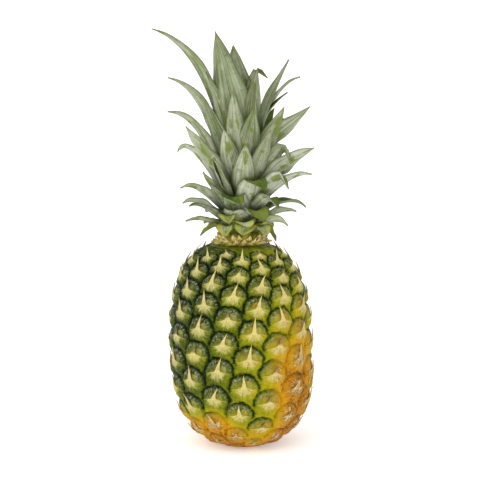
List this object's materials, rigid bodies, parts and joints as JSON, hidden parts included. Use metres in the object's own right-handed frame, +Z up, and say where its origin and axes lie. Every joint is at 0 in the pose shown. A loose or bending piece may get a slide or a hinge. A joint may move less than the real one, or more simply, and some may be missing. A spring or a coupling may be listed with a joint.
{
  "type": "pineapple",
  "caption": "A whole ripe pineapple standing upright on its flat base, with spined eyes in spiral rows, withered neck bracts and a tall leafy crown.",
  "frame": {"origin": "the middle of the cut base, where the fruit's axis meets the surface that it stands on", "axes": "+Z up along the fruit, -Y the front face, +X to the right of the front"},
  "size_m": [0.1484, 0.1343, 0.375],
  "materials": {
    "rind": "waxy rind, dark green at the upper left, turning yellow-green and then gold at the lower right, with cream dry bracts and spines",
    "stalk": "cut fibrous stalk, dried pale brown",
    "dry_bract": "withered papery bracts, cream to pale brown",
    "leaf": "grey-green scurfy leaf backs, greener inside, with olive rubbed spots"
  },
  "bodies": {
    "root": {"fruit": "rind", "cut_stalk": "stalk", "neck_bracts": "dry_bract", "crown": "leaf"}
  },
  "joints": []
}
